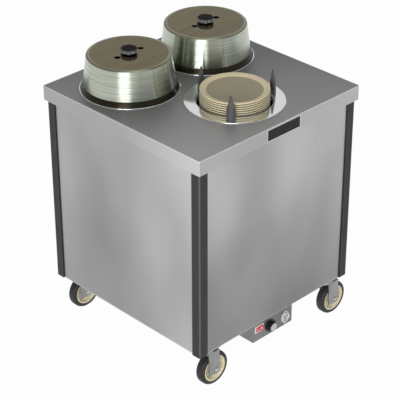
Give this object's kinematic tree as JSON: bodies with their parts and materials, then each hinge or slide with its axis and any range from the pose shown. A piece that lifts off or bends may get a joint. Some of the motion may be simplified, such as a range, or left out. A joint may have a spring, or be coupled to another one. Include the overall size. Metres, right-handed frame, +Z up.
{
  "type": "plate dispenser cart",
  "caption": "Square stainless cabinet on swivel casters with spring-loaded plate silos in its deck, lift-off domed covers, corner bumpers and a control box underneath",
  "frame": {"origin": "on the floor under the middle of the cabinet", "axes": "+Z up, -Y the front with the controls, +X to the right seen from the front"},
  "size_m": [0.777, 0.757, 1.068],
  "materials": {
    "deck_steel": "brushed stainless steel, fine grain, soft reflections",
    "panel_steel": "satin stainless steel sheet, soft reflections",
    "ring_steel": "mirror-polished stainless steel",
    "silo_steel": "plain rolled steel tube, semi-bright",
    "inner_steel": "galvanised steel, dull spangle",
    "guide_plastic": "charcoal moulded plastic, satin",
    "spring_wire": "bright drawn spring wire",
    "china": "warm grey-buff glazed china",
    "cover_steel": "spun stainless steel, circular grain",
    "knob_plastic": "glossy black phenolic",
    "bumper_rubber": "charcoal ribbed rubber, low sheen",
    "caster_steel": "zinc-plated pressed steel",
    "axle_steel": "bright steel",
    "hub_plastic": "cream moulded plastic",
    "tyre_rubber": "dark grey solid rubber",
    "box_steel": "plain steel box",
    "white_plastic": "white moulded plastic",
    "red_plastic": "red translucent moulding",
    "black_plastic": "black moulded plastic",
    "cap_metal": "spun aluminium disc",
    "heater_sheath": "heat-stained steel sheath"
  },
  "bodies": {
    "cabinet": {"deck": "deck_steel", "front_panel": "panel_steel", "rear_panel": "panel_steel", "left_panel": "panel_steel", "right_panel": "panel_steel", "base_pan": "inner_steel", "corner_posts": "inner_steel", "bumper_front_left": "bumper_rubber", "bumper_front_right": "bumper_rubber", "bumper_rear_left": "bumper_rubber", "bumper_rear_right": "bumper_rubber", "ring_front": "ring_steel", "ring_left": "ring_steel", "ring_right": "ring_steel", "tube_front": "silo_steel", "tube_left": "silo_steel", "tube_right": "silo_steel", "guides_front": "guide_plastic", "guides_left": "guide_plastic", "guides_right": "guide_plastic", "springs_front": "spring_wire", "springs_left": "spring_wire", "springs_right": "spring_wire", "caster_plates": "caster_steel", "caster_bolts": "axle_steel", "control_box": "box_steel", "switch_frame": "white_plastic", "thermostat": "inner_steel", "power_inlet": "white_plastic", "heating_element": "heater_sheath", "element_brackets": "inner_steel"},
    "swivel_front_left": {"fork_front_left": "caster_steel", "axle_front_left": "axle_steel"},
    "wheel_front_left": {"hub_front_left": "hub_plastic", "tyre_front_left": "tyre_rubber"},
    "swivel_front_right": {"fork_front_right": "caster_steel", "axle_front_right": "axle_steel"},
    "wheel_front_right": {"hub_front_right": "hub_plastic", "tyre_front_right": "tyre_rubber"},
    "swivel_rear_left": {"fork_rear_left": "caster_steel", "axle_rear_left": "axle_steel"},
    "wheel_rear_left": {"hub_rear_left": "hub_plastic", "tyre_rear_left": "tyre_rubber"},
    "swivel_rear_right": {"fork_rear_right": "caster_steel", "axle_rear_right": "axle_steel"},
    "wheel_rear_right": {"hub_rear_right": "hub_plastic", "tyre_rear_right": "tyre_rubber"},
    "carrier_front": {"carrier_front": "silo_steel"},
    "carrier_left": {"carrier_left": "silo_steel"},
    "carrier_right": {"carrier_right": "silo_steel"},
    "plate_stack": {"plates": "china"},
    "cover_left": {"cover_left": "cover_steel", "cover_knob_left": "knob_plastic", "knob_screw_left": "axle_steel"},
    "cover_right": {"cover_right": "cover_steel", "cover_knob_right": "knob_plastic", "knob_screw_right": "axle_steel"},
    "dial": {"thermostat_knob": "black_plastic", "thermostat_cap": "cap_metal"},
    "rocker": {"rocker": "red_plastic"}
  },
  "joints": [
    {"name": "swivel_front_left", "type": "hinge", "parent": "cabinet", "child": "swivel_front_left", "pos_m": [-0.3065, -0.3337, 0.1541], "axis": [0, 0, 1], "continuous": true},
    {"name": "swivel_front_right", "type": "hinge", "parent": "cabinet", "child": "swivel_front_right", "pos_m": [0.3065, -0.3337, 0.1541], "axis": [0, 0, 1], "continuous": true},
    {"name": "swivel_rear_left", "type": "hinge", "parent": "cabinet", "child": "swivel_rear_left", "pos_m": [-0.3065, 0.3337, 0.1541], "axis": [0, 0, 1], "continuous": true},
    {"name": "swivel_rear_right", "type": "hinge", "parent": "cabinet", "child": "swivel_rear_right", "pos_m": [0.3065, 0.3337, 0.1541], "axis": [0, 0, 1], "continuous": true},
    {"name": "roll_front_left", "type": "hinge", "parent": "swivel_front_left", "child": "wheel_front_left", "pos_m": [-0.2805, -0.3337, 0.0635], "axis": [0, 1, 0], "continuous": true},
    {"name": "roll_front_right", "type": "hinge", "parent": "swivel_front_right", "child": "wheel_front_right", "pos_m": [0.3325, -0.3337, 0.0635], "axis": [0, 1, 0], "continuous": true},
    {"name": "roll_rear_left", "type": "hinge", "parent": "swivel_rear_left", "child": "wheel_rear_left", "pos_m": [-0.2805, 0.3337, 0.0635], "axis": [0, 1, 0], "continuous": true},
    {"name": "roll_rear_right", "type": "hinge", "parent": "swivel_rear_right", "child": "wheel_rear_right", "pos_m": [0.3325, 0.3337, 0.0635], "axis": [0, 1, 0], "continuous": true},
    {"name": "sink_front", "type": "slide", "parent": "cabinet", "child": "carrier_front", "axis": [0, 0, 1], "range_m": [-0.39, 0], "stiffness_N_per_m": 890, "springref_m": 0.11, "deforming": ["springs_front"]},
    {"name": "sink_left", "type": "slide", "parent": "cabinet", "child": "carrier_left", "axis": [0, 0, 1], "range_m": [-0.39, 0], "stiffness_N_per_m": 890, "springref_m": 0.11, "deforming": ["springs_left"]},
    {"name": "sink_right", "type": "slide", "parent": "cabinet", "child": "carrier_right", "axis": [0, 0, 1], "range_m": [-0.39, 0], "stiffness_N_per_m": 890, "springref_m": 0.11, "deforming": ["springs_right"]},
    {"name": "lift_plates", "type": "slide", "parent": "carrier_front", "child": "plate_stack", "axis": [0, 0, 1], "range_m": [0, 0.15]},
    {"name": "lift_cover_left", "type": "slide", "parent": "cabinet", "child": "cover_left", "axis": [0, 0, 1], "range_m": [0, 0.2]},
    {"name": "lift_cover_right", "type": "slide", "parent": "cabinet", "child": "cover_right", "axis": [0, 0, 1], "range_m": [0, 0.2]},
    {"name": "turn_dial", "type": "hinge", "parent": "cabinet", "child": "dial", "pos_m": [-0.012, -0.3557, 0.1137], "axis": [0, 1, 0], "range_deg": [0, 300]},
    {"name": "tip_rocker", "type": "hinge", "parent": "cabinet", "child": "rocker", "pos_m": [-0.0693, -0.3527, 0.1293], "axis": [0, 0, 1], "range_deg": [0, 14]}
  ]
}
